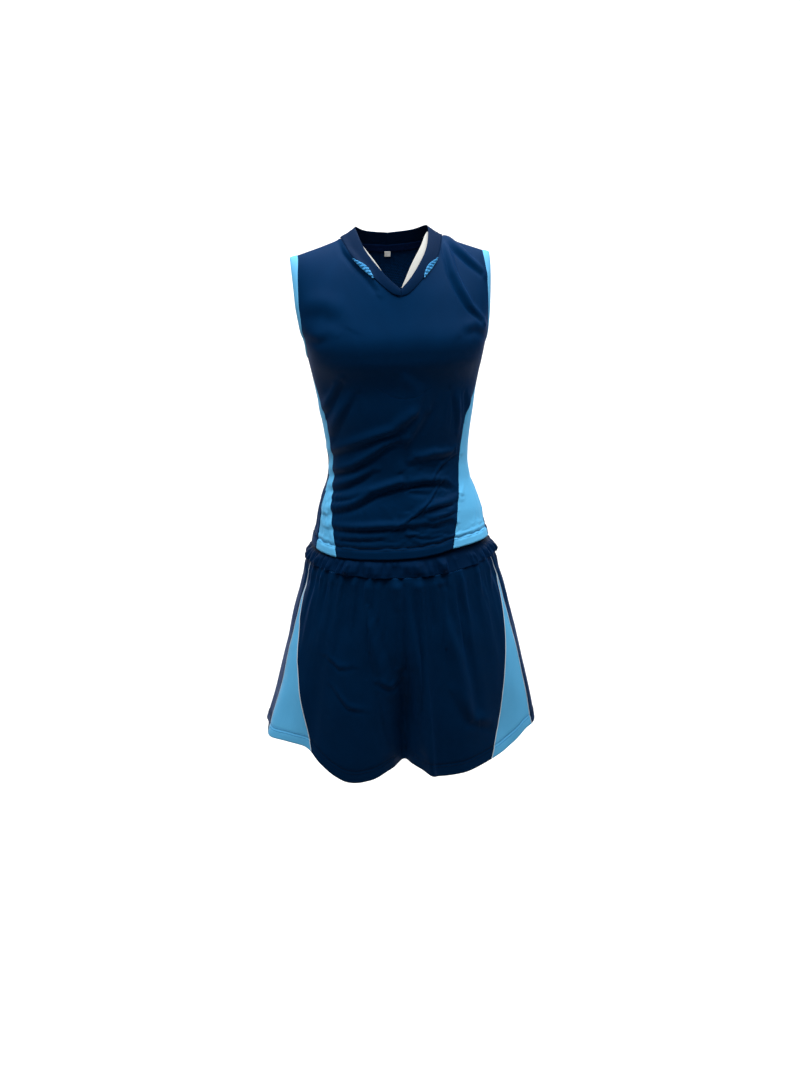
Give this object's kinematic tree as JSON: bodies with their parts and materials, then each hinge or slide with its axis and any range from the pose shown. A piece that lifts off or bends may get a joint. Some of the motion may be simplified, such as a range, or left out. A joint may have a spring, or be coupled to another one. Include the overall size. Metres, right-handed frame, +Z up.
{
  "type": "cheer uniform",
  "caption": "Two-piece cheer uniform shaped as worn: a sleeveless V-neck top over a gathered A-line skirt, navy knit with sky-blue side inserts, bindings and godets.",
  "frame": {"origin": "centre of the skirt's waist opening, level with the waistband's top edge", "axes": "+Z up along the wearer, +X to the wearer's left, -Y to the front"},
  "size_m": [0.505, 0.3554, 0.9156],
  "materials": {
    "navy_knit": "matte polyester knit",
    "navy_mesh": "matte polyester micro-mesh",
    "sky_knit": "matte polyester knit",
    "off_white_facing": "matte woven facing",
    "label_satin": "satin ribbon",
    "white_elastic": "woven elastic",
    "pale_piping": "matte piping"
  },
  "bodies": {
    "top": {"top_front_panel": "navy_knit", "top_back_panel": "navy_mesh", "top_insert_left": "sky_knit", "top_insert_right": "sky_knit", "armhole_binding_left": "sky_knit", "armhole_binding_right": "sky_knit", "collar_left": "navy_knit", "collar_right": "navy_knit", "collar_back": "navy_knit", "collar_insert_left": "sky_knit", "collar_insert_right": "sky_knit", "neck_facing_left": "off_white_facing", "neck_facing_right": "off_white_facing", "neck_tape": "navy_knit", "size_label": "label_satin"},
    "skirt": {"waistband_casing_front": "navy_knit", "waistband_casing_back": "navy_knit", "waist_elastic": "white_elastic", "skirt_front_panel": "navy_knit", "skirt_back_panel": "navy_knit", "skirt_godet_left": "sky_knit", "skirt_godet_right": "sky_knit", "skirt_piping_front_left": "pale_piping", "skirt_piping_front_right": "pale_piping", "skirt_piping_rear_left": "pale_piping", "skirt_piping_rear_right": "pale_piping"}
  },
  "joints": [
    {"name": "top_lift", "type": "slide", "parent": "skirt", "child": "top", "axis": [0, 0, 1], "range_m": [0, 0.15]}
  ]
}
